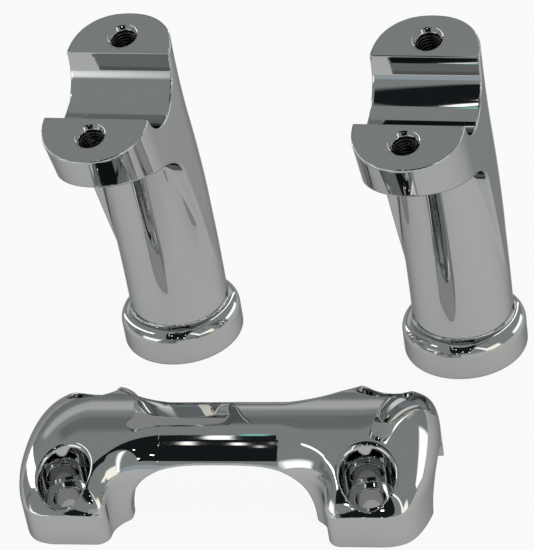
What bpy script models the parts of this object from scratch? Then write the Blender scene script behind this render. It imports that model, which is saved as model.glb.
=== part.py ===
"""Motorcycle bar riser: two bent posts and the one-piece top clamp, standing apart on a bench.

Metres, +Z up. X runs along the handlebar, -Y faces the rider.
"""
import math

import bmesh
import bpy
from mathutils import Matrix, Vector

# Handlebar and hardware that the set is made for
BAR_DIAMETER = 0.0254
CLAMP_GAP = 0.0016
SCREW_SPACING_ALONG = 0.0889
SCREW_SPACING_ACROSS = 0.0390
THREAD_BORE = 0.0070
THREAD_CHAMFER = 0.0011
FRONT_THREAD_DEPTH = 0.0125
REAR_THREAD_DEPTH = 0.0190
STUD_BORE = 0.0110
STUD_CHAMFER = 0.0012
STUD_DEPTH = 0.0285

# Post head, measured in the plane of its machined flat
HEAD_WIDTH = 0.0321
HEAD_FRONT_REACH = 0.0295
HEAD_REAR_REACH = 0.0290
HEAD_TILT = math.radians(17.3)
HEAD_HEIGHT = 0.1054
HEAD_PULLBACK = 0.0227
LIP_DEPTH = 0.0115
LOBE_FULLNESS = 2.2
ROUND_FULLNESS = 2.0

# Gusset that carries the head down onto the neck
GUSSET_REACH = 0.0025
GUSSET_TURN_DEPTH = 0.0370
GUSSET_END_DEPTH = 0.0830
GUSSET_INSET = 0.0004
REAR_BLEND_DEPTH = 0.0300

# Neck and foot of the post
NECK_DIAMETER = 0.0313
NECK_FOOT_LEAN = math.radians(-4.1)
NECK_BEND_RADIUS = 0.274
NECK_LENGTH = 0.1065
FOOT_DIAMETER = 0.0384
FOOT_WALL = 0.0082
FOOT_HEIGHT = 0.0125
FOOT_EDGE = 0.0018
FOOT_TUCK = 0.0006
NECK_START = 0.0030

# One-piece top clamp
CLAMP_LENGTH = 0.1238
PAD_WALL = 0.0107
PAD_INNER = 0.0320
PAD_INNER_ROUND = 0.0040
END_RUN = 0.0086
END_TIP = 0.995
BRIDGE_DEPTH = 0.0292
BRIDGE_START = 0.0176
FLARE_FULLNESS = 2.4
CROWN_HEIGHT = 0.0258
CROWN_RADIUS = 0.0400
CROWN_END_RUN = 0.0205
PAD_EDGE = 0.0034
BRIDGE_EDGE = 0.0050
ARCH_SPAN = 0.0548
ARCH_RISE = 0.0174
ARCH_SIDE_FULLNESS = 3.4
ARCH_TOP_FULLNESS = 2.7
COUNTERBORE_DIAMETER = 0.0144
COUNTERBORE_FLOOR = 0.0112
COUNTERBORE_DRAFT = math.radians(5.5)
COUNTERBORE_WALL = 0.0013
SCREW_CLEARANCE_BORE = 0.0084
SLOPE_STEP = 0.0001
PAD_DEPTH = SCREW_SPACING_ACROSS + COUNTERBORE_DIAMETER + 2 * COUNTERBORE_WALL

# Where each piece stands
POST_STANCE = 0.0925
CLAMP_PLACE = (-0.0088, -0.0732)
CLAMP_TURN = math.radians(5.2)

# Facet counts
NECK_SIDES = 72
NECK_RINGS = 14
LOBE_STEPS = 26
GUSSET_STEPS = 18
BLEND_RINGS = 7
GUSSET_RINGS = 5
SHOULDER_STEPS = 6
EDGE_STEPS = 3
BORE_SIDES = 36
CHANNEL_SIDES = 96
BRIDGE_STATIONS = 6
FLARE_STATIONS = 11
PAD_STATIONS = 6
CORNER_STATIONS = 4
END_STATIONS = 8
ROUND_STEPS = 5
CROWN_STEPS = 7
ARCH_STEPS = 36

# Cutting tools reach this far past what they cut; seams are welded within MERGE
OVERCUT = 0.004
MERGE = 0.00001
CHROME = (0.78, 0.79, 0.80, 1.0)
CHROME_ROUGHNESS = 0.08
SMOOTH_UP_TO = math.radians(35)


def clear_scene():
    for item in list(bpy.data.objects):
        bpy.data.objects.remove(item, do_unlink=True)


def new_collection(name):
    group = bpy.data.collections.new(name)
    bpy.context.scene.collection.children.link(group)
    return group


def chrome_material(name):
    material = bpy.data.materials.new(name)
    material.use_nodes = True
    shader = material.node_tree.nodes["Principled BSDF"]
    shader.inputs["Base Color"].default_value = CHROME
    shader.inputs["Metallic"].default_value = 1.0
    shader.inputs["Roughness"].default_value = CHROME_ROUGHNESS
    return material


def add_object(name, mesh, group):
    item = bpy.data.objects.new(name, mesh)
    group.objects.link(item)
    return item


def make_cutter(item):
    item.hide_render = True
    item.display_type = "WIRE"
    return item


def mesh_from_rings(name, rings):
    """Closed body through rings of equal point counts, capped at both ends."""
    shape = bmesh.new()
    loops = [[shape.verts.new(point) for point in ring] for ring in rings]
    for lower, upper in zip(loops, loops[1:]):
        for index, corner in enumerate(lower):
            after = (index + 1) % len(lower)
            shape.faces.new((corner, lower[after], upper[after], upper[index]))
    shape.faces.new(list(reversed(loops[0])))
    shape.faces.new(loops[-1])
    bmesh.ops.recalc_face_normals(shape, faces=shape.faces)
    mesh = bpy.data.meshes.new(name)
    shape.to_mesh(mesh)
    shape.free()
    return mesh


def boolean(item, tool, operation):
    step = item.modifiers.new(operation.title() + " " + tool.name, "BOOLEAN")
    step.object = tool
    step.operation = operation
    step.solver = "EXACT"
    return step


def smooth_shading(item):
    item.data.shade_smooth()
    item.data.set_sharp_from_angle(angle=SMOOTH_UP_TO)


def turned_shape(name, group, profile, sides):
    """Solid of revolution about Z; the profile runs down the outer side from axis to axis."""
    mesh = bpy.data.meshes.new(name)
    edges = [(index, index + 1) for index in range(len(profile) - 1)]
    mesh.from_pydata([(radius, 0.0, height) for radius, height in profile], edges, [])
    item = add_object(name, mesh, group)
    screw = item.modifiers.new("Turn", "SCREW")
    screw.axis = "Z"
    screw.steps = sides
    screw.render_steps = sides
    screw.use_merge_vertices = True
    screw.merge_threshold = MERGE
    return make_cutter(item)


def drill(name, group, radius, depth, frame, chamfer):
    """Drill that enters a face at the frame's origin, along -Z of the frame, and flares its mouth."""
    profile = [
        (0.0, OVERCUT),
        (radius + chamfer, OVERCUT),
        (radius + chamfer, 0.0),
        (radius, -chamfer),
        (radius, -depth),
        (0.0, -depth),
    ]
    tool = turned_shape(name, group, profile, BORE_SIDES)
    tool.matrix_world = frame
    return tool


def stepped_drill(name, group, along, across):
    """Drafted counterbore with the screw's clearance bore below it, right through the clamp."""
    over_crown = CROWN_HEIGHT + OVERCUT
    widening = (over_crown - COUNTERBORE_FLOOR) * math.tan(COUNTERBORE_DRAFT)
    profile = [
        (0.0, over_crown),
        (COUNTERBORE_DIAMETER / 2 + widening, over_crown),
        (COUNTERBORE_DIAMETER / 2, COUNTERBORE_FLOOR),
        (SCREW_CLEARANCE_BORE / 2, COUNTERBORE_FLOOR),
        (SCREW_CLEARANCE_BORE / 2, -OVERCUT),
        (0.0, -OVERCUT),
    ]
    tool = turned_shape(name, group, profile, BORE_SIDES)
    tool.location = (along, across, 0.0)
    return tool


def extruded_outline(name, group, points, half_thickness, frame):
    """Flat outline in the frame's XY plane, thickened both ways along its Z."""
    curve = bpy.data.curves.new(name, "CURVE")
    curve.dimensions = "2D"
    curve.fill_mode = "BOTH"
    curve.extrude = half_thickness
    spline = curve.splines.new("POLY")
    spline.points.add(len(points) - 1)
    for point, (x, y) in zip(spline.points, points):
        point.co = (x, y, 0.0, 1.0)
    spline.use_cyclic_u = True
    return mesh_from_curve(name, group, curve, frame)


def mesh_from_curve(name, group, curve, frame):
    """Mesh object of a curve's solid, with its caps welded on."""
    source = add_object(name + "_curve", curve, group)
    source.matrix_world = frame
    bpy.context.view_layer.update()
    graph = bpy.context.evaluated_depsgraph_get()
    mesh = bpy.data.meshes.new_from_object(source.evaluated_get(graph))
    shape = bmesh.new()
    shape.from_mesh(mesh)
    bmesh.ops.remove_doubles(shape, verts=shape.verts, dist=MERGE)
    bmesh.ops.recalc_face_normals(shape, faces=shape.faces)
    shape.to_mesh(mesh)
    shape.free()
    item = add_object(name, mesh, group)
    item.matrix_world = frame
    bpy.data.objects.remove(source, do_unlink=True)
    return make_cutter(item)


def lobe_outline(half_width, front, rear, fullness, steps):
    """Outline with two rounded ends; y is measured toward the front end."""
    points = []
    for reach, side in ((front, 1.0), (rear, -1.0)):
        end = min(half_width, reach)
        for step in range(steps):
            angle = math.pi * (step + 0.5) / steps
            across = math.copysign(abs(math.cos(angle)) ** (2.0 / fullness), math.cos(angle))
            along = math.sin(angle) ** (2.0 / fullness)
            points.append((side * half_width * across, side * (reach - end + end * along)))
    return points


def head_frame():
    """Matrix of the machined flat: X across, Y toward the front, Z out of the flat."""
    front = Vector((0.0, -math.cos(HEAD_TILT), -math.sin(HEAD_TILT)))
    out = Vector((0.0, -math.sin(HEAD_TILT), math.cos(HEAD_TILT)))
    across = front.cross(out)
    centre = Vector((0.0, -HEAD_PULLBACK, HEAD_HEIGHT))
    frame = Matrix((across, front, out)).transposed().to_4x4()
    frame.translation = centre
    return frame


def neck_point(distance):
    """Centre of the neck at a distance measured along the bend from the foot."""
    lean = NECK_FOOT_LEAN + distance / NECK_BEND_RADIUS
    pulled = NECK_BEND_RADIUS * (math.cos(lean) - math.cos(NECK_FOOT_LEAN))
    height = NECK_BEND_RADIUS * (math.sin(lean) - math.sin(NECK_FOOT_LEAN))
    return Vector((0.0, pulled, height))


def neck_back(depth):
    """How far the back of the neck lies behind the channel's middle, at a depth under the flat."""
    into_head = head_frame().inverted()
    steps = 4 * NECK_RINGS
    places = [into_head @ neck_point(NECK_LENGTH * step / steps) for step in range(steps + 1)]
    for lower, upper in zip(places, places[1:]):
        if lower.z <= -depth <= upper.z:
            share = (-depth - lower.z) / (upper.z - lower.z)
            return NECK_DIAMETER / 2 - (lower.y + share * (upper.y - lower.y))
    return NECK_DIAMETER / 2 - places[-1].y


def build_neck(group):
    """Round bar bent through the neck's arc, from inside the foot up into the head."""
    rings = []
    for step in range(NECK_RINGS + 1):
        distance = NECK_START + (NECK_LENGTH - NECK_START) * step / NECK_RINGS
        lean = NECK_FOOT_LEAN + distance / NECK_BEND_RADIUS
        centre = neck_point(distance)
        ring = []
        for side in range(NECK_SIDES):
            angle = 2 * math.pi * (side + 0.5) / NECK_SIDES
            across = NECK_DIAMETER / 2 * math.cos(angle)
            along = NECK_DIAMETER / 2 * math.sin(angle)
            ring.append(centre + Vector((across, along * math.cos(lean), along * math.sin(lean))))
        rings.append(ring)
    return make_cutter(add_object("neck_shape", mesh_from_rings("neck_shape", rings), group))


def build_foot(group):
    """Collar at the bottom of the post: rounded shoulder, upright wall, small edge at the floor."""
    radius = FOOT_DIAMETER / 2
    shoulder_run = radius - NECK_DIAMETER / 2 + FOOT_TUCK
    shoulder_rise = FOOT_HEIGHT - FOOT_WALL
    profile = [(0.0, FOOT_HEIGHT)]
    for step in range(SHOULDER_STEPS + 1):
        angle = math.pi / 2 * (1 - step / SHOULDER_STEPS)
        out = radius - shoulder_run + shoulder_run * math.cos(angle)
        profile.append((out, FOOT_WALL + shoulder_rise * math.sin(angle)))
    for step in range(EDGE_STEPS + 1):
        angle = math.pi / 2 * step / EDGE_STEPS
        out = radius - FOOT_EDGE + FOOT_EDGE * math.cos(angle)
        profile.append((out, FOOT_EDGE - FOOT_EDGE * math.sin(angle)))
    profile.append((0.0, 0.0))
    return turned_shape("foot_shape", group, profile, NECK_SIDES)


def head_depths():
    """Depths of the head's rings: close together where the back of the head blends into the neck."""
    below = GUSSET_END_DEPTH - REAR_BLEND_DEPTH
    depths = [REAR_BLEND_DEPTH * step / BLEND_RINGS for step in range(BLEND_RINGS)]
    return depths + [REAR_BLEND_DEPTH + below * step / GUSSET_RINGS for step in range(GUSSET_RINGS + 1)]


def build_head(name, group):
    """Rounded head swept down along the screws' direction until it sinks into the neck."""
    frame = head_frame()
    overhang = HEAD_REAR_REACH - neck_back(0.0)
    rings = []
    for depth in reversed(head_depths()):
        blend = max(0.0, 1.0 - depth / REAR_BLEND_DEPTH) ** 2
        sink = GUSSET_INSET * (1.0 - blend)
        rear = neck_back(depth) + overhang * blend - sink
        fade = max(0.0, (depth - REAR_BLEND_DEPTH) / (GUSSET_END_DEPTH - REAR_BLEND_DEPTH)) ** 2
        half_width = HEAD_WIDTH / 2 + (NECK_DIAMETER / 2 - GUSSET_INSET - HEAD_WIDTH / 2) * fade
        fullness = LOBE_FULLNESS + (ROUND_FULLNESS - LOBE_FULLNESS) * (1.0 - blend)
        outline = lobe_outline(half_width, HEAD_FRONT_REACH, rear, fullness, LOBE_STEPS)
        rings.append([frame @ Vector((x, y, -depth)) for x, y in outline])
    return add_object(name, mesh_from_rings(name, rings), group)


def side_plane(frame):
    """The frame turned so that its XY plane is the side view: X toward the frame's Y, Y along its Z."""
    return frame @ Matrix(((0, 0, 1, 0), (1, 0, 0, 0), (0, 1, 0, 0), (0, 0, 0, 1)))


def gusset_cutter(group):
    """Takes away what lies under the front lip; its edge is the curve of the gusset."""
    outer = HEAD_FRONT_REACH + OVERCUT
    bottom = -(GUSSET_END_DEPTH + OVERCUT)
    curve = [(outer, -LIP_DEPTH)]
    for step in range(GUSSET_STEPS + 1):
        share = step / GUSSET_STEPS
        reach = GUSSET_REACH + (HEAD_FRONT_REACH - GUSSET_REACH) * (1.0 - share) ** 2
        curve.append((reach, -(LIP_DEPTH + (GUSSET_TURN_DEPTH - LIP_DEPTH) * share)))
    curve += [(GUSSET_REACH, bottom), (outer, bottom)]
    half = HEAD_WIDTH / 2 + OVERCUT
    return extruded_outline("gusset_cut", group, curve, half, side_plane(head_frame()))


def channel_cutter(name, group, frame, length):
    """Round bar channel along X, its axis half the clamping gap outside the flat."""
    shape = bmesh.new()
    radius = BAR_DIAMETER / 2
    bmesh.ops.create_cone(
        shape, cap_ends=True, segments=CHANNEL_SIDES, radius1=radius, radius2=radius, depth=length
    )
    mesh = bpy.data.meshes.new(name)
    shape.to_mesh(mesh)
    shape.free()
    tool = add_object(name, mesh, group)
    lying = Matrix.Rotation(math.pi / 2, 4, "Y")
    tool.matrix_world = frame @ Matrix.Translation((0.0, 0.0, CLAMP_GAP / 2)) @ lying
    return make_cutter(tool)


def build_post(name, group, cutters, x_place):
    flat = head_frame()
    upside_down = Matrix.Rotation(math.pi, 4, "X")
    half_spacing = SCREW_SPACING_ACROSS / 2
    front = flat @ Matrix.Translation((0.0, half_spacing, 0.0))
    rear = flat @ Matrix.Translation((0.0, -half_spacing, 0.0))
    thread = THREAD_BORE / 2
    post = build_head(name, group)
    boolean(post, gusset_cutter(cutters), "DIFFERENCE")
    boolean(post, build_neck(cutters), "UNION")
    boolean(post, build_foot(cutters), "UNION")
    boolean(post, channel_cutter("post_channel", cutters, flat, HEAD_WIDTH + 2 * OVERCUT), "DIFFERENCE")
    front_drill = drill("front_thread", cutters, thread, FRONT_THREAD_DEPTH, front, THREAD_CHAMFER)
    rear_drill = drill("rear_thread", cutters, thread, REAR_THREAD_DEPTH, rear, THREAD_CHAMFER)
    stud_drill = drill("stud_thread", cutters, STUD_BORE / 2, STUD_DEPTH, upside_down, STUD_CHAMFER)
    for tool in (front_drill, rear_drill, stud_drill):
        boolean(post, tool, "DIFFERENCE")
    bake(post)
    post.location.x = x_place
    return post


def bake(item):
    """Replaces an object's mesh by the result of its modifiers."""
    bpy.context.view_layer.update()
    graph = bpy.context.evaluated_depsgraph_get()
    result = bpy.data.meshes.new_from_object(item.evaluated_get(graph))
    item.modifiers.clear()
    item.data = result
    smooth_shading(item)


def half_depth(x):
    """Half of the clamp's depth at x: full pads, a waist for the bridge, ends rounded in plan."""
    reach = abs(x)
    full = PAD_DEPTH / 2
    waist = BRIDGE_DEPTH / 2
    end_start = CLAMP_LENGTH / 2 - END_RUN
    if reach >= end_start:
        run = min(END_TIP, (reach - end_start) / END_RUN)
        return full * math.sqrt(1.0 - run * run)
    if reach <= BRIDGE_START:
        return waist
    shoulder = full - PAD_INNER_ROUND
    if reach >= PAD_INNER:
        short = max(0.0, PAD_INNER + PAD_INNER_ROUND - reach)
        return shoulder + math.sqrt(max(0.0, PAD_INNER_ROUND ** 2 - short ** 2))
    share = (reach - BRIDGE_START) / (PAD_INNER - BRIDGE_START)
    return shoulder - (shoulder - waist) * math.sqrt(max(0.0, 1.0 - share ** FLARE_FULLNESS))


def crown(x, y):
    """Height of the crowned top over the flat faces."""
    half = PAD_DEPTH / 2
    arc = CROWN_HEIGHT - PAD_WALL - CROWN_RADIUS + math.sqrt(CROWN_RADIUS ** 2 - y * y)
    bow = END_RUN * (1.0 - math.sqrt(max(0.0, 1.0 - (y / half) ** 2)))
    end = max(0.0, (abs(x) + bow - (CLAMP_LENGTH / 2 - CROWN_END_RUN)) / CROWN_END_RUN)
    return PAD_WALL + arc * math.sqrt(max(0.0, 1.0 - end * end))


def clamp_stations():
    """Places along the bar for the clamp's sections, closer where its outline turns quickly."""
    half = CLAMP_LENGTH / 2
    end_start = half - END_RUN
    flare = PAD_INNER - BRIDGE_START
    pad_start = PAD_INNER + PAD_INNER_ROUND
    right = [BRIDGE_START * step / BRIDGE_STATIONS for step in range(BRIDGE_STATIONS)]
    for step in range(FLARE_STATIONS):
        right.append(BRIDGE_START + flare * math.sin(math.pi / 2 * step / FLARE_STATIONS))
    for step in range(CORNER_STATIONS):
        right.append(pad_start - PAD_INNER_ROUND * math.cos(math.pi / 2 * step / CORNER_STATIONS))
    right += [pad_start + (end_start - pad_start) * step / PAD_STATIONS for step in range(PAD_STATIONS)]
    for step in range(END_STATIONS + 1):
        right.append(end_start + END_RUN * math.sin(math.pi / 2 * step / END_STATIONS))
    return [-x for x in reversed(right[1:])] + right


def wall_lean(x):
    """How much further, along Y, one must go to get away from the clamp's wall where it runs askew."""
    inside = min(abs(x), CLAMP_LENGTH / 2 - 2 * SLOPE_STEP)
    slope = (half_depth(inside + SLOPE_STEP) - half_depth(inside)) / SLOPE_STEP
    return math.sqrt(1.0 + slope * slope)


def edge_size(x):
    """Radius of the rounded top edge: large on the bridge, smaller on the pads, fading at the ends."""
    reach = abs(x)
    if reach > CLAMP_LENGTH / 2 - END_RUN:
        return PAD_EDGE / wall_lean(x)
    share = min(1.0, max(0.0, (reach - BRIDGE_START) / (PAD_INNER - BRIDGE_START)))
    return BRIDGE_EDGE + (PAD_EDGE - BRIDGE_EDGE) * share


def clamp_section(x):
    """Section of the clamp at x: flat bottom, upright walls, rounded edges and the crown."""
    depth = half_depth(x)
    edge = edge_size(x)
    run = min(edge * wall_lean(x), depth / 2)
    half = [(depth, 0.0)]
    for step in range(ROUND_STEPS + 1):
        angle = math.pi / 2 * step / ROUND_STEPS
        y = depth - run * (1.0 - math.cos(angle))
        half.append((y, crown(x, y) - edge * (1.0 - math.sin(angle))))
    inner = depth - run
    for step in range(1, CROWN_STEPS + 1):
        y = inner * (1.0 - step / CROWN_STEPS)
        half.append((y, crown(x, y)))
    mirrored = [(-y, z) for y, z in reversed(half[:-1])]
    return [Vector((x, y, z)) for y, z in half + mirrored]


def arch_cutter(group):
    """Opening under the bridge, a flattened arch right through from front to back."""
    outline = [(ARCH_SPAN / 2, -OVERCUT)]
    for step in range(ARCH_STEPS + 1):
        angle = math.pi * step / ARCH_STEPS
        across = math.copysign(abs(math.cos(angle)) ** (2.0 / ARCH_SIDE_FULLNESS), math.cos(angle))
        outline.append((across * ARCH_SPAN / 2, ARCH_RISE * math.sin(angle) ** (2.0 / ARCH_TOP_FULLNESS)))
    outline.append((-ARCH_SPAN / 2, -OVERCUT))
    upright = Matrix.Rotation(math.pi / 2, 4, "X")
    return extruded_outline("arch_cut", group, outline, PAD_DEPTH, upright)


def build_clamp(name, group, cutters):
    mesh = mesh_from_rings(name, [clamp_section(x) for x in clamp_stations()])
    clamp = add_object(name, mesh, group)
    boolean(clamp, arch_cutter(cutters), "DIFFERENCE")
    upside_down = Matrix.Rotation(math.pi, 4, "X")
    channel = channel_cutter("clamp_channel", cutters, upside_down, CLAMP_LENGTH + 2 * OVERCUT)
    boolean(clamp, channel, "DIFFERENCE")
    for along in (-SCREW_SPACING_ALONG / 2, SCREW_SPACING_ALONG / 2):
        for across in (-SCREW_SPACING_ACROSS / 2, SCREW_SPACING_ACROSS / 2):
            boolean(clamp, stepped_drill("screw_drill", cutters, along, across), "DIFFERENCE")
    bake(clamp)
    clamp.location = (CLAMP_PLACE[0], CLAMP_PLACE[1], 0.0)
    clamp.rotation_euler.z = CLAMP_TURN
    return clamp


def centre_on_floor(items):
    """Moves the set so that the middle of the floor it covers is the origin."""
    bpy.context.view_layer.update()
    corners = [item.matrix_world @ vertex.co for item in items for vertex in item.data.vertices]
    middle_x = (min(c.x for c in corners) + max(c.x for c in corners)) / 2
    middle_y = (min(c.y for c in corners) + max(c.y for c in corners)) / 2
    for item in items:
        item.location.x -= middle_x
        item.location.y -= middle_y


def build():
    clear_scene()
    group = new_collection("handlebar_riser_set")
    cutters = new_collection("cutters")
    left = build_post("left_riser", group, cutters, -POST_STANCE / 2)
    right = build_post("right_riser", group, cutters, POST_STANCE / 2)
    clamp = build_clamp("top_clamp", group, cutters)
    centre_on_floor((left, right, clamp))
    for item in (left, right, clamp):
        item.data.materials.clear()
        item.data.materials.append(chrome_material(item.name + "_chrome"))


build()
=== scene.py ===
import math

import bmesh
import bpy
import numpy as np
from mathutils import Matrix, Vector


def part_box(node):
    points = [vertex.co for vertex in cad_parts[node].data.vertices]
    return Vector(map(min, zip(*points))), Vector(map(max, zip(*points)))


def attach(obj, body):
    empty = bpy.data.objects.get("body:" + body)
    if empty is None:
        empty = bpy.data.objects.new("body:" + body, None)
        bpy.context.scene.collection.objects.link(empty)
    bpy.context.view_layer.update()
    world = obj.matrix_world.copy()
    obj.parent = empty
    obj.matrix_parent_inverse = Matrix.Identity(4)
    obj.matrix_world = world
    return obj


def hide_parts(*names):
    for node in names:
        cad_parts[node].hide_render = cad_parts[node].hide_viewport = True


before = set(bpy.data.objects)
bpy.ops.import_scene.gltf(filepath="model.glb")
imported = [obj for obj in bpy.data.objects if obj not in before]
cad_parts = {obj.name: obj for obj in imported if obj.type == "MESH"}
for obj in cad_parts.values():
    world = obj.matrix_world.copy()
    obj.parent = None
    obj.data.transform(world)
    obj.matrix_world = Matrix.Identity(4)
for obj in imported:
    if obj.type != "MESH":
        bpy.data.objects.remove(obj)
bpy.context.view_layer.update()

# Sizes are in millimetres, as in the solids, and room sizes in metres
MM = 0.001

# Head of a post: an oval under a tilted flat, with a gusset from its front lip down to the neck
HEAD_TILT = math.radians(17.3)
HEAD_PULLBACK = 22.7  # the flat's middle stands this far forward, to -y, of the foot's
HEAD_HEIGHT = 105.4
HEAD_HALF = 16.05
HEAD_FRONT = 29.5
HEAD_REAR = 29.0
OVAL_POWER = 2.2  # a little squarer than an ellipse
ROUND_POWER = 2  # an ellipse
REAR_BLEND = 30.0  # depth at which the head's back has faded into the neck
FLAT_EDGE = 0.5
LIP = 11.5  # height of the upright front, above the gusset
GUSSET_REACH = 2.5  # how far forward of the flat's middle the gusset's curve ends
GUSSET_TURN = 37.0  # depth at which it ends
GUSSET_END = 83.0  # depth of the swept head
GUSSET_EDGE = 0.8
GUSSET_FILLET = 0.7
FILLET_START = -2.0
FILLET_RUN = 6.0
SINK = 0.4  # how far the swept head's lower end dips into the neck
SINK_START = 52.0

# Neck and foot of a post
NECK_RADIUS = 15.65
NECK_LEAN = math.radians(-4.1)
NECK_BEND = 274.0  # radius of the neck's arc
NECK_LENGTH = 106.5
NECK_STATIONS = 120
FOOT_RADIUS = 19.2
FOOT_HEIGHT = 12.5
FOOT_SHOULDER = 4.2
FOOT_EDGE = 1.8
FOOT_FILLET = 0.4
STUD_RADIUS = 5.5
STUD_CHAMFER = 1.2
STUD_DEPTH = 28.5

# Handlebar channel and the places of the screws, across the bar and along it
BAR_RADIUS = 12.7
BAR_RISE = 0.8  # the bar's middle stands this far off the flats
CHANNEL_EDGE = 0.45
SCREW_OUT = 19.5
SCREW_ALONG = 44.45

# Threaded holes of a head: each one's name, its place forward on the flat and its depth
HOLES = (("front", SCREW_OUT, 12.5), ("rear", -SCREW_OUT, 19.0))
HOLE_EDGE = 0.2
THREAD_RADIUS = 3.5
THREAD_CHAMFER = 1.1
CHAMFER_SLANT = 0.7071
THREAD_PITCH = 1.25
THREAD_HEIGHT = 0.4
THREAD_ROOT = 0.12  # how far the ridge is rooted in the wall
THREAD_FLANK = 0.45  # half the ridge's foot, as a share of the pitch
THREAD_STEPS = 40
WELD = 0.005  # points nearer than this become one

# Clamp: two pads with rounded ends, and a crowned bridge with a waist, over an arch
CLAMP_TURN = math.radians(5.2)
CLAMP_HALF = 61.9
CLAMP_EDGE = 0.5
END_RUN = 8.6  # bulge of the rounded ends
PAD_HALF = 28.0
PAD_WALL = 10.7  # height of the pads' sides
PAD_INNER = 32.0  # inner side of a pad
PAD_INNER_ROUND = 4.0
WAIST = 14.6
WAIST_START = 17.6  # where the waist begins to flare into the pads
FLARE = 2.4  # power of the flare's curve; 2 is an ellipse
CROWN = 25.8
CROWN_RADIUS = 40.0
CROWN_END = 20.5  # run in which the crown comes down to the ends
CROWN_EDGE = 6.0
BRIDGE_EDGE = 11.0
END_SHARE = 0.04  # share of the crown's rounded edge that is left at the ends
ARCH_HALF = 27.4
ARCH_RISE = 17.4
ARCH_SIDE = 3.4
ARCH_TOP = 2.7
ARCH_POWER = 0.37
ARCH_EDGE = 0.9
SEAT_RADIUS = 7.2  # the seat of a screw is its counterbore
SEAT_FLOOR = 11.2
SEAT_DRAFT = math.radians(5.5)
SEAT_LIP = 1.2
SEAT_LIP_THIN = 0.6
LIP_START = -3.0
LIP_RUN = 6.0
SCREW_RADIUS = 4.2
SCREW_EDGE = 0.3

# Fine copies: the size of their cells, how their points are drawn onto the exact form, and the
# least values to divide by
FINE = 0.5
PASSES = 6
LONGEST_MOVE = 0.3
PROBE = 0.02
LEAST_SLOPE = 0.004
LEAST_SQUARE = 0.25
LEAST_HEADING = 1e-6
TINY = 1e-9

# Colours of the metal and of the floor, which looks nearly white but throws a plain light
PLATING = (0.60, 0.61, 0.60, 1)
EDGE_TINT = (0.42, 0.43, 0.44, 1)
THREAD_STEEL = (0.13, 0.12, 0.11, 1)
FLOOR_COLOUR = (0.33, 0.34, 0.33, 1)
FLOOR_GLOW = (1, 1, 1, 1)
SEEN_WHITE = 0.93
MIRRORED_WHITE = 0.42
FLOOR_SIZE = 6.0
FLOOR_DROP = 0.0002

# Camera, from the middle between the two feet
CAMERA_OFFSET = Vector((0.2065, -0.5949, 0.4510))
CAMERA_AZIMUTH = math.radians(20.45)
CAMERA_ELEVATION = math.radians(33.96)
CAMERA_ROLL = math.radians(9.52)
CAMERA_LENS = 160.0
CAMERA_REACH = 10

# Soft light from above, which the metal doesn't mirror
OVERHEAD = 2.0
OVERHEAD_SPREAD = math.radians(70)
OVERHEAD_TILT = (math.radians(-18), math.radians(12), 0)

# Tones of the room that the metal mirrors
ROOM = (0.30, 0.32, 0.32, 1)
DARK = (0.012, 0.014, 0.016, 1)
BLUISH = (0.42, 0.48, 0.52, 1)
SHADE = (0.20, 0.21, 0.21, 1)
PALE = (0.62, 0.62, 0.63, 1)
CREAM = (1.5, 1.42, 1.25, 1)
WHITE = (1.7, 1.7, 1.7, 1)
TUBE = (3.2, 3.2, 3.2, 1)
SPARK = (9.0, 9.0, 8.0, 1)
LAMP = (2.0, 2.0, 1.9, 1)
TEAL = (0.30, 0.75, 0.65, 1)

# Cards and lamps far off in the room: tone, from azimuth and elevation, to azimuth and elevation,
# width in degrees and softness of the rim; each lies over the ones before it
CAMERA_SIDE = math.radians(-71)
NEAREST_AHEAD = 0.001
CARDS = (
    (PALE, (140, 18), (-140, 18), 20, 0.10),
    (SHADE, (150, 41), (-140, 41), 22, 0.10),
    (SHADE, (-100, 17), (-86, 17), 24, 0.05),
    (BLUISH, (-45, 0), (35, 0), 22, 0.03),
    (DARK, (-42, 46), (9, 46), 62, 0.02),
    (DARK, (28, 68), (84, 68), 4, 0.02),
    (CREAM, (30, 10), (58, 14), 28, 0.08),
    (WHITE, (88, 14), (130, 6), 20, 0.05),
    (WHITE, (-80, 6), (-37, 6), 24, 0.12),
    (TUBE, (-145, -8), (-74, 50), 8, 0.02),
    (TUBE, (130, 65), (148, 4), 4, 0.02),
    (WHITE, (14, 52), (32, 2), 8, 0.05),
    (SPARK, (-14, 30), (-11, 31), 2, 0.01),
    (SPARK, (2, 47), (4, 46), 2, 0.01),
    (SPARK, (-2, 24), (1, 24), 2, 0.01),
    (SPARK, (-24, 18), (-22, 18), 2, 0.01),
    (SPARK, (-30, 50), (-27, 50), 2, 0.01),
)

# Lamps mirrored in the front of the bridge: tone, from and to along the bridge, elevation, width
BRIDGE_LAMPS = (
    (LAMP, -5, 5, 68, 12),
    (LAMP, -12, -6, 54, 9),
    (LAMP, 3, 9, 53, 7),
    (TEAL, 6, 16, 74, 6),
    (LAMP, 11, 14, 47, 6),
    (LAMP, 15.5, 17, 55, 8),
)
BRIDGE_LAMP_SOFTNESS = 0.003
BRIDGE_FRONT = Vector((0, -12, 20)) * MM


# Distance fields: negative inside the metal, in millimetres
def meet(a, b, r):
    """What two shapes share, with the edge between them rounded."""
    outside = np.hypot(np.maximum(r + a, 0), np.maximum(r + b, 0))
    return np.minimum(-r, np.maximum(a, b)) + outside


def join(a, b, r):
    """Two shapes together, with a fillet in the corner between them."""
    inside = np.hypot(np.maximum(r - a, 0), np.maximum(r - b, 0))
    return np.maximum(r, np.minimum(a, b)) - inside


def true_distance(shape, *at):
    """A shape's function over its slope, so that it counts in millimetres near the surface."""
    slope = 0.0
    for i in range(len(at)):
        more = [v + PROBE if k == i else v for k, v in enumerate(at)]
        less = [v - PROBE if k == i else v for k, v in enumerate(at)]
        slope = slope + ((shape(*more) - shape(*less)) / (2 * PROBE)) ** 2
    return shape(*at) / np.maximum(np.sqrt(slope), LEAST_SLOPE)


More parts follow.
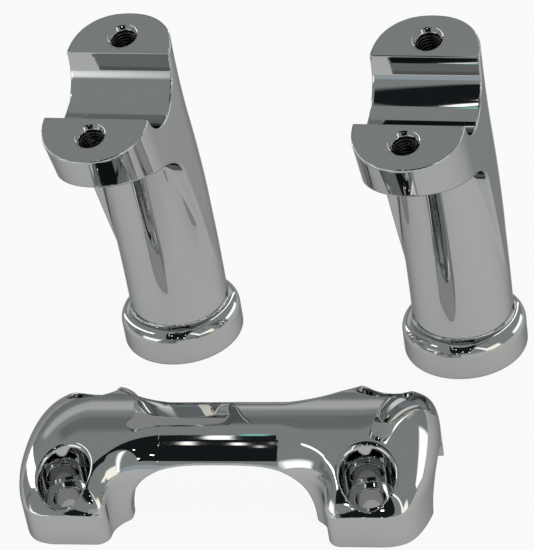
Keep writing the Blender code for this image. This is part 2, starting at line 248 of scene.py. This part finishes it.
def from_head(y, z):
    """How far forward on a head's flat and how deep under it a place is, given from the foot."""
    u, v = y + HEAD_PULLBACK, z - HEAD_HEIGHT
    front = -(u * math.cos(HEAD_TILT) + v * math.sin(HEAD_TILT))
    depth = u * math.sin(HEAD_TILT) - v * math.cos(HEAD_TILT)
    return front, depth


def neck_backs():
    """Depths under the flat, and how far back the neck reaches at each."""
    lean = NECK_LEAN + np.linspace(0, NECK_LENGTH, NECK_STATIONS) / NECK_BEND
    y = NECK_BEND * (np.cos(lean) - math.cos(NECK_LEAN))
    z = NECK_BEND * (np.sin(lean) - math.sin(NECK_LEAN))
    front, depth = from_head(y, z)
    return depth[::-1], NECK_RADIUS - front[::-1]


BACK_DEPTHS, BACKS = neck_backs()
OVERHANG = HEAD_REAR - np.interp(0.0, BACK_DEPTHS, BACKS)


def lobe(x, front, depth):
    """Oval of the head at a depth: below zero inside it. It fades into the neck as it goes down."""
    blend = np.clip(1 - depth / REAR_BLEND, 0, 1) ** 2
    sunk = SINK * np.clip((depth - SINK_START) / (GUSSET_END - SINK_START), 0, 1) ** 2
    rear = np.interp(depth, BACK_DEPTHS, BACKS) + OVERHANG * blend - sunk
    fade = np.clip((depth - REAR_BLEND) / (GUSSET_END - REAR_BLEND), 0, 1) ** 2
    half = HEAD_HALF + (NECK_RADIUS - HEAD_HALF) * fade - sunk
    full = OVAL_POWER + (ROUND_POWER - OVAL_POWER) * (1 - blend)
    reach = np.where(front > 0, HEAD_FRONT, rear)
    end = np.minimum(half, reach)
    along = np.maximum(np.abs(front) - (reach - end), 0) / end
    return (along ** full + (np.abs(x) / half) ** full + TINY) ** (1 / full) - 1


def thread_hole(x, front, depth, centre, deep):
    """A screw hole of the head, chamfered at its mouth."""
    out = np.hypot(x, front - centre)
    flare = np.maximum(THREAD_CHAMFER - depth, 0)
    slant = np.where(flare > 0, CHAMFER_SLANT, 1.0)
    return np.maximum((out - THREAD_RADIUS - flare) * slant, depth - deep)


def post_field(p):
    """One post, from the middle of its foot on the floor, with its head to the front, -y."""
    x, y, z = p.T
    centre_y, centre_z = -NECK_BEND * math.cos(NECK_LEAN), -NECK_BEND * math.sin(NECK_LEAN)
    tube = np.hypot(np.hypot(y - centre_y, z - centre_z) - NECK_BEND, x) - NECK_RADIUS
    along = (np.arctan2(z - centre_z, y - centre_y) - NECK_LEAN) * NECK_BEND
    tube = np.maximum(tube, along - NECK_LENGTH)
    front, depth = from_head(y, z)
    head = true_distance(lambda a, b: lobe(a, b, depth), x, front)
    run = GUSSET_TURN - LIP
    share = np.minimum((depth - LIP) / run, 1.0)
    reach = GUSSET_REACH + (HEAD_FRONT - GUSSET_REACH) * np.maximum(1 - share, 0) ** 2
    slope = 2 * (HEAD_FRONT - GUSSET_REACH) * np.maximum(1 - share, 0) / run
    head = meet(head, (front - reach) / np.sqrt(1 + slope ** 2), GUSSET_EDGE)
    head = meet(head, -depth, FLAT_EDGE)
    head = np.maximum(head, depth - GUSSET_END)
    fillet = GUSSET_FILLET * np.clip((front - FILLET_START) / FILLET_RUN, 0, 1)
    body = join(head, tube, fillet)
    out = np.hypot(x, y)
    foot = meet(out - FOOT_RADIUS, z - FOOT_HEIGHT, FOOT_SHOULDER)
    foot = meet(foot, -z, FOOT_EDGE)
    body = join(body, np.maximum(foot, -z), FOOT_FILLET)
    body = meet(body, BAR_RADIUS - np.hypot(front, depth + BAR_RISE), CHANNEL_EDGE)
    for _, centre, deep in HOLES:
        body = meet(body, -thread_hole(x, front, depth, centre, deep), HOLE_EDGE)
    stud = np.maximum(out - STUD_RADIUS - np.maximum(STUD_CHAMFER - z, 0), z - STUD_DEPTH)
    return np.maximum(meet(body, -stud, HOLE_EDGE), -z)


def clamp_field(p):
    """The clamp, from its middle on the floor, with the bridge along x."""
    x, y, z = np.abs(p[:, 0]), np.abs(p[:, 1]), p[:, 2]
    end_start = CLAMP_HALF - END_RUN
    flare_run = PAD_INNER - WAIST_START

    def outline(x, y):
        end = np.maximum(x - end_start, 0) / END_RUN
        return np.sqrt(end ** 2 + (y / PAD_HALF) ** 2 + TINY) - 1

    def top(x, y, z):
        arc = CROWN - PAD_WALL - CROWN_RADIUS + np.sqrt(CROWN_RADIUS ** 2 - y ** 2)
        end = np.maximum(x - (CLAMP_HALF - CROWN_END), 0) / CROWN_END
        return np.sqrt(end ** 2 + (np.maximum(z - PAD_WALL, 0) / arc) ** 2 + TINY) - 1

    def gap(x, y):
        shoulder = PAD_HALF - PAD_INNER_ROUND
        a = np.maximum(x - WAIST_START, 0) / flare_run
        b = np.maximum(shoulder - y, 0) / (shoulder - WAIST)
        return np.sqrt(a ** FLARE + b ** 2 + TINY) - 1

    def arch(x, z):
        side = (np.abs(x) / ARCH_HALF) ** ARCH_SIDE
        rise = (np.maximum(z, 0) / ARCH_RISE) ** ARCH_TOP
        return (side + rise + TINY) ** ARCH_POWER - 1

    plan = true_distance(outline, x, y)
    endways = np.maximum(x - end_start, 0) / END_RUN ** 2
    sideways = y / PAD_HALF ** 2
    sideways = sideways / np.maximum(np.hypot(endways, sideways), LEAST_HEADING)
    bulged = x + END_RUN * (1 - np.sqrt(np.maximum(1 - (y / PAD_HALF) ** 2, 0)))
    plan = meet(plan, -true_distance(gap, x, y), PAD_INNER_ROUND)
    padward = np.clip((x - WAIST_START) / flare_run, 0, 1)
    edge = BRIDGE_EDGE + (CROWN_EDGE - BRIDGE_EDGE) * padward
    body = meet(plan, true_distance(top, bulged, y, z), edge * np.clip(sideways, END_SHARE, 1))
    body = meet(body, -true_distance(arch, x, z), ARCH_EDGE)
    body = meet(body, BAR_RADIUS - np.hypot(y, z + BAR_RISE), CLAMP_EDGE)
    body = meet(body, -z, CLAMP_EDGE)
    out = np.hypot(x - SCREW_ALONG, y - SCREW_OUT)
    draft = (z - SEAT_FLOOR) * math.tan(SEAT_DRAFT)
    seat = (out - SEAT_RADIUS - draft) * math.cos(SEAT_DRAFT)
    outer = np.clip((y - SCREW_OUT - LIP_START) / LIP_RUN, 0, 1)
    lip = SEAT_LIP + (SEAT_LIP_THIN - SEAT_LIP) * outer
    body = meet(body, -np.maximum(seat, SEAT_FLOOR - z), lip)
    return meet(body, SCREW_RADIUS - out, SCREW_EDGE)


def gradient(field, p):
    """Slopes of a field at points, along the three axes."""
    slopes = []
    for axis in range(3):
        nudge = np.zeros(3)
        nudge[axis] = PROBE
        slopes.append((field(p + nudge) - field(p - nudge)) / (2 * PROBE))
    return np.stack(slopes, 1)


def placed(name, data):
    """New object in the scene, from a mesh, a lamp or a camera."""
    thing = bpy.data.objects.new(name, data)
    bpy.context.scene.collection.objects.link(thing)
    return thing


def settled(piece):
    """Mesh that a piece's modifiers make, which takes the place of the piece's own."""
    bpy.context.view_layer.update()
    made = piece.evaluated_get(bpy.context.evaluated_depsgraph_get())
    mesh = bpy.data.meshes.new_from_object(made)
    piece.modifiers.clear()
    piece.data = mesh
    return mesh


def machined_copy(node, name, field, place, turn):
    """Fine copy of a solid, drawn onto its exact rounded form, with that form's own normals."""
    shell = placed(name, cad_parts[node].data.copy())
    remesh = shell.modifiers.new("Fine", "REMESH")
    remesh.mode = "VOXEL"
    remesh.voxel_size = FINE * MM
    mesh = settled(shell)
    points = np.zeros(len(mesh.vertices) * 3)
    mesh.vertices.foreach_get("co", points)
    c, s = math.cos(turn), math.sin(turn)
    rotation = np.array(((c, -s, 0), (s, c, 0), (0, 0, 1)))
    local = (points.reshape(-1, 3) / MM - np.array(place)) @ rotation
    for _ in range(PASSES):
        slopes = gradient(field, local)
        square = np.maximum((slopes ** 2).sum(1), LEAST_SQUARE)
        move = slopes * (field(local) / square)[:, None]
        length = np.maximum(np.linalg.norm(move, axis=1), TINY)
        local -= move * np.minimum(1, LONGEST_MOVE / length)[:, None]
    normals = gradient(field, local)
    normals /= np.maximum(np.linalg.norm(normals, axis=1), TINY)[:, None]
    drawn = (local @ rotation.T + np.array(place)) * MM
    mesh.vertices.foreach_set("co", drawn.astype(np.float32).ravel())
    mesh.update()
    mesh.shade_smooth()
    mesh.normals_split_custom_set_from_vertices((normals @ rotation.T).tolist())
    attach(shell, "root")
    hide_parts(node)
    return shell


def thread_turns(name, foot, centre, deep):
    """Ridge of a screw hole's thread: a three-cornered section wound down the hole's wall."""
    section = bpy.data.meshes.new(name)
    half = THREAD_FLANK * THREAD_PITCH
    root, tip = THREAD_RADIUS + THREAD_ROOT, THREAD_RADIUS - THREAD_HEIGHT
    corners = [Vector(c) * MM for c in ((root, 0, -half), (tip, 0, 0), (root, 0, half))]
    section.from_pydata(corners, [(0, 1), (1, 2), (2, 0)], [])
    ridge = placed(name, section)
    turns = int((deep - 2 * THREAD_CHAMFER) / THREAD_PITCH)
    wind = ridge.modifiers.new("Wind", "SCREW")
    wind.screw_offset = THREAD_PITCH * MM
    wind.iterations = turns
    wind.steps = wind.render_steps = THREAD_STEPS
    wind.use_normal_calculate = True
    mesh = settled(ridge)
    solid = bmesh.new()
    solid.from_mesh(mesh)
    bmesh.ops.remove_doubles(solid, verts=solid.verts, dist=WELD * MM)
    bmesh.ops.holes_fill(solid, edges=solid.edges, sides=3)
    bmesh.ops.recalc_face_normals(solid, faces=solid.faces)
    solid.to_mesh(mesh)
    solid.free()
    lowest = turns * THREAD_PITCH + THREAD_CHAMFER + half
    s, c = math.sin(HEAD_TILT), math.cos(HEAD_TILT)
    x = foot[0] * MM
    y = (foot[1] - HEAD_PULLBACK - centre * c + lowest * s) * MM
    z = (foot[2] + HEAD_HEIGHT - centre * s - lowest * c) * MM
    ridge.matrix_world = Matrix(((1, 0, 0, x), (0, c, -s, y), (0, s, c, z), (0, 0, 0, 1)))
    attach(ridge, "root")
    return ridge


class Value:
    """A value in a node tree. Sums, products and the like of values add their Math nodes."""

    def __init__(self, nodes, socket):
        self.nodes, self.socket = nodes, socket

    def math(self, operation, *others, **settings):
        sockets = {i: value for i, value in enumerate(others)}
        return self.nodes.add("Math", {"operation": operation, **settings}, sockets)

    def __add__(self, other):
        return self.math("ADD", self, other)

    def __sub__(self, other):
        return self.math("SUBTRACT", self, other)

    def __rsub__(self, other):
        return self.math("SUBTRACT", other, self)

    def __mul__(self, other):
        return self.math("MULTIPLY", self, other)

    def __truediv__(self, other):
        return self.math("DIVIDE", self, other)

    def __rtruediv__(self, other):
        return self.math("DIVIDE", other, self)

    def __abs__(self):
        return self.math("ABSOLUTE", self)

    def over(self, limit):
        return self.math("GREATER_THAN", self, limit)

    def at_least(self, limit):
        return self.math("MAXIMUM", self, limit)

    def clamped(self):
        return self.math("ADD", self, 0, use_clamp=True)

    __radd__, __rmul__ = __add__, __mul__


class Nodes:
    """The nodes of one material or world."""

    def __init__(self, owner):
        owner.use_nodes = True
        self.tree = owner.node_tree

    def add(self, kind, settings, sockets, output=0):
        """New node of a kind, its settings first, then the values or links of its sockets."""
        node = self.tree.nodes.new("ShaderNode" + kind)
        for name, value in settings.items():
            setattr(node, name, value)
        self.fill(node.name, sockets)
        return Value(self, node.outputs[output])

    def fill(self, node, sockets):
        """Values or links for the sockets of the node with that name."""
        inputs = self.tree.nodes[node].inputs
        for name, value in sockets.items():
            if isinstance(value, Value):
                self.tree.links.new(value.socket, inputs[name])
            else:
                inputs[name].default_value = value

    def dot(self, direction, fixed):
        """How far a direction reaches along a fixed one."""
        settings = {"operation": "DOT_PRODUCT"}
        return self.add("VectorMath", settings, {0: direction, 1: fixed}, "Value")

    def blend(self, share, first, second):
        """Mix of two colours: the second one where the share is 1."""
        return self.add("Mix", {"data_type": "RGBA"}, {0: share, 6: first, 7: second}, 2)


def heading(azimuth, elevation):
    """Direction in the room. Azimuth 0 is the camera's side, and it grows to the camera's right."""
    a, e = math.radians(azimuth) + CAMERA_SIDE, math.radians(elevation)
    return Vector((math.cos(e) * math.cos(a), math.cos(e) * math.sin(a), math.sin(e)))


def mirrored_in_bridge(start, end, elevation, eye):
    """Ends of a lamp that the eye sees mirrored in the bridge, between two places along it."""
    places = [Vector((x * MM, 0, 0)) for x in (start, end)]
    first, last = [(eye.x - place.x) / (eye - place).length for place in places]
    middle, rise = (first + last) / 2, math.sin(math.radians(elevation))
    centre = Vector((-middle, -math.sqrt(1 - middle ** 2 - rise ** 2), rise))
    bar = Vector((1, 0, 0)) + middle * centre
    step = bar / bar.length_squared * (first - last) / 2
    turned = Matrix.Rotation(CLAMP_TURN, 3, "Z")
    return turned @ (centre - step), turned @ (centre + step)


def card(nodes, direction, behind, first, last, width, tone, softness):
    """A far, flat card or lamp from one direction to another, laid over what is behind it."""
    centre = (first + last).normalized()
    along = (last - first).normalized()
    across = centre.cross(along)
    facing = nodes.dot(direction, centre)
    ahead = facing.at_least(NEAREST_AHEAD)
    half_length = math.tan(first.angle(last) / 2)
    half_width = math.tan(math.radians(width) / 2)
    inside = ((half_length - abs(nodes.dot(direction, along) / ahead)) / softness).clamped()
    inside *= ((half_width - abs(nodes.dot(direction, across) / ahead)) / softness).clamped()
    return nodes.blend(inside * facing.over(0.0), behind, tone)


def studio(eye):
    """Dim room with a dark side behind the camera, tubes, and bright walls low at both sides."""
    world = bpy.data.worlds.new("studio")
    nodes = Nodes(world)
    direction = nodes.add("TexCoord", {}, {}, "Generated")
    colour = ROOM
    for tone, start, end, width, softness in CARDS:
        ends = heading(*start), heading(*end)
        colour = card(nodes, direction, colour, *ends, width, tone, softness)
    for tone, start, end, elevation, width in BRIDGE_LAMPS:
        ends = mirrored_in_bridge(start, end, elevation, eye)
        colour = card(nodes, direction, colour, *ends, width, tone, BRIDGE_LAMP_SOFTNESS)
    nodes.fill("Background", {"Color": colour})
    return world


def pale_floor():
    """Floor that the camera and the metal see as nearly white, with the object's shadow kept."""
    paint = bpy.data.materials.new("pale_floor")
    nodes = Nodes(paint)
    nodes.fill("Principled BSDF", {"Base Color": FLOOR_COLOUR, "Roughness": 0.9})
    camera = nodes.add("LightPath", {}, {}, "Is Camera Ray")
    mirrored = nodes.add("LightPath", {}, {}, "Is Glossy Ray")
    through = nodes.add("LightPath", {}, {}, "Is Transmission Ray")
    glow = nodes.add("Emission", {}, {"Color": FLOOR_GLOW, "Strength": 1.0})
    painted = Value(nodes, nodes.tree.nodes["Principled BSDF"].outputs[0])
    share = camera * SEEN_WHITE + mirrored * MIRRORED_WHITE + through * MIRRORED_WHITE
    mixed = nodes.add("MixShader", {}, {0: share, 1: painted, 2: glow})
    nodes.fill("Material Output", {"Surface": mixed})
    return paint


def chrome():
    """Polished plating, with the faint waviness of a buffed casting under it."""
    plating = bpy.data.materials.new("polished_chrome")
    nodes = Nodes(plating)
    place = nodes.add("TexCoord", {}, {}, "Object")
    waves = nodes.add("TexNoise", {}, {"Vector": place, "Scale": 55.0, "Detail": 1.0})
    bumps = nodes.add("Bump", {}, {"Strength": 0.02, "Distance": 0.0004, "Height": waves})
    nodes.fill("Principled BSDF", {
        "Base Color": PLATING,
        "Metallic": 1.0,
        "Roughness": 0.025,
        "Specular Tint": EDGE_TINT,
        "Normal": bumps,
    })
    return plating


def cut_steel():
    """Unplated steel of the cut threads: a dark metal, half rough."""
    steel = bpy.data.materials.new("cut_thread")
    finish = {"Base Color": THREAD_STEEL, "Metallic": 1.0, "Roughness": 0.35}
    Nodes(steel).fill("Principled BSDF", finish)
    return steel


def lay_floor():
    """Wide floor, a hair under the feet."""
    bpy.ops.mesh.primitive_plane_add(size=FLOOR_SIZE, location=(0, 0, -FLOOR_DROP))
    floor = bpy.context.object
    floor.name = "floor"
    floor.data.materials.append(pale_floor())


def hang_overhead_light():
    """Wide, soft light from above."""
    lamp = bpy.data.lights.new("overhead_light", "SUN")
    lamp.energy = OVERHEAD
    lamp.angle = OVERHEAD_SPREAD
    hung = placed("overhead_light", lamp)
    hung.rotation_euler = OVERHEAD_TILT
    hung.visible_glossy = False


def stand_camera(place):
    """Long lens at the photograph's angle."""
    lens = bpy.data.cameras.new("camera")
    lens.lens = CAMERA_LENS
    lens.clip_end = CAMERA_REACH
    camera = placed("camera", lens)
    camera.location = place
    swung = Matrix.Rotation(CAMERA_AZIMUTH, 4, "Z")
    raised = Matrix.Rotation(math.pi / 2 - CAMERA_ELEVATION, 4, "X")
    rolled = Matrix.Rotation(-CAMERA_ROLL, 4, "Z")
    camera.rotation_euler = (swung @ raised @ rolled).to_euler()
    bpy.context.scene.camera = camera


def foot_middle(low, high):
    """Middle of a post's foot on the floor, from the post's box."""
    return ((low.x + high.x) / 2 / MM, high.y / MM - FOOT_RADIUS, 0)


# Pieces
feet = {side: foot_middle(*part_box(side + "_riser")) for side in ("left", "right")}
clamp_low, clamp_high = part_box("top_clamp")
clamp_middle = ((clamp_low.x + clamp_high.x) / 2 / MM, (clamp_low.y + clamp_high.y) / 2 / MM, 0)
plated = [
    machined_copy(side + "_riser", side + "_post", post_field, foot, 0)
    for side, foot in feet.items()
]
plated.append(machined_copy("top_clamp", "clamp", clamp_field, clamp_middle, CLAMP_TURN))
threads = [
    thread_turns(side + "_" + where + "_thread", foot, centre, deep)
    for side, foot in feet.items()
    for where, centre, deep in HOLES
]
for pieces, finish in ((plated, chrome()), (threads, cut_steel())):
    for piece in pieces:
        piece.data.materials.clear()
        piece.data.materials.append(finish)

# Floor, light and camera
lay_floor()
between_feet = Vector(((feet["left"][0] + feet["right"][0]) / 2, feet["left"][1], 0)) * MM
camera_place = between_feet + CAMERA_OFFSET
from_clamp = Matrix.Rotation(-CLAMP_TURN, 3, "Z") @ (camera_place - Vector(clamp_middle) * MM)
bpy.context.scene.world = studio(from_clamp - BRIDGE_FRONT)
hang_overhead_light()
stand_camera(camera_place)
bpy.context.scene.view_settings.view_transform = "Standard"
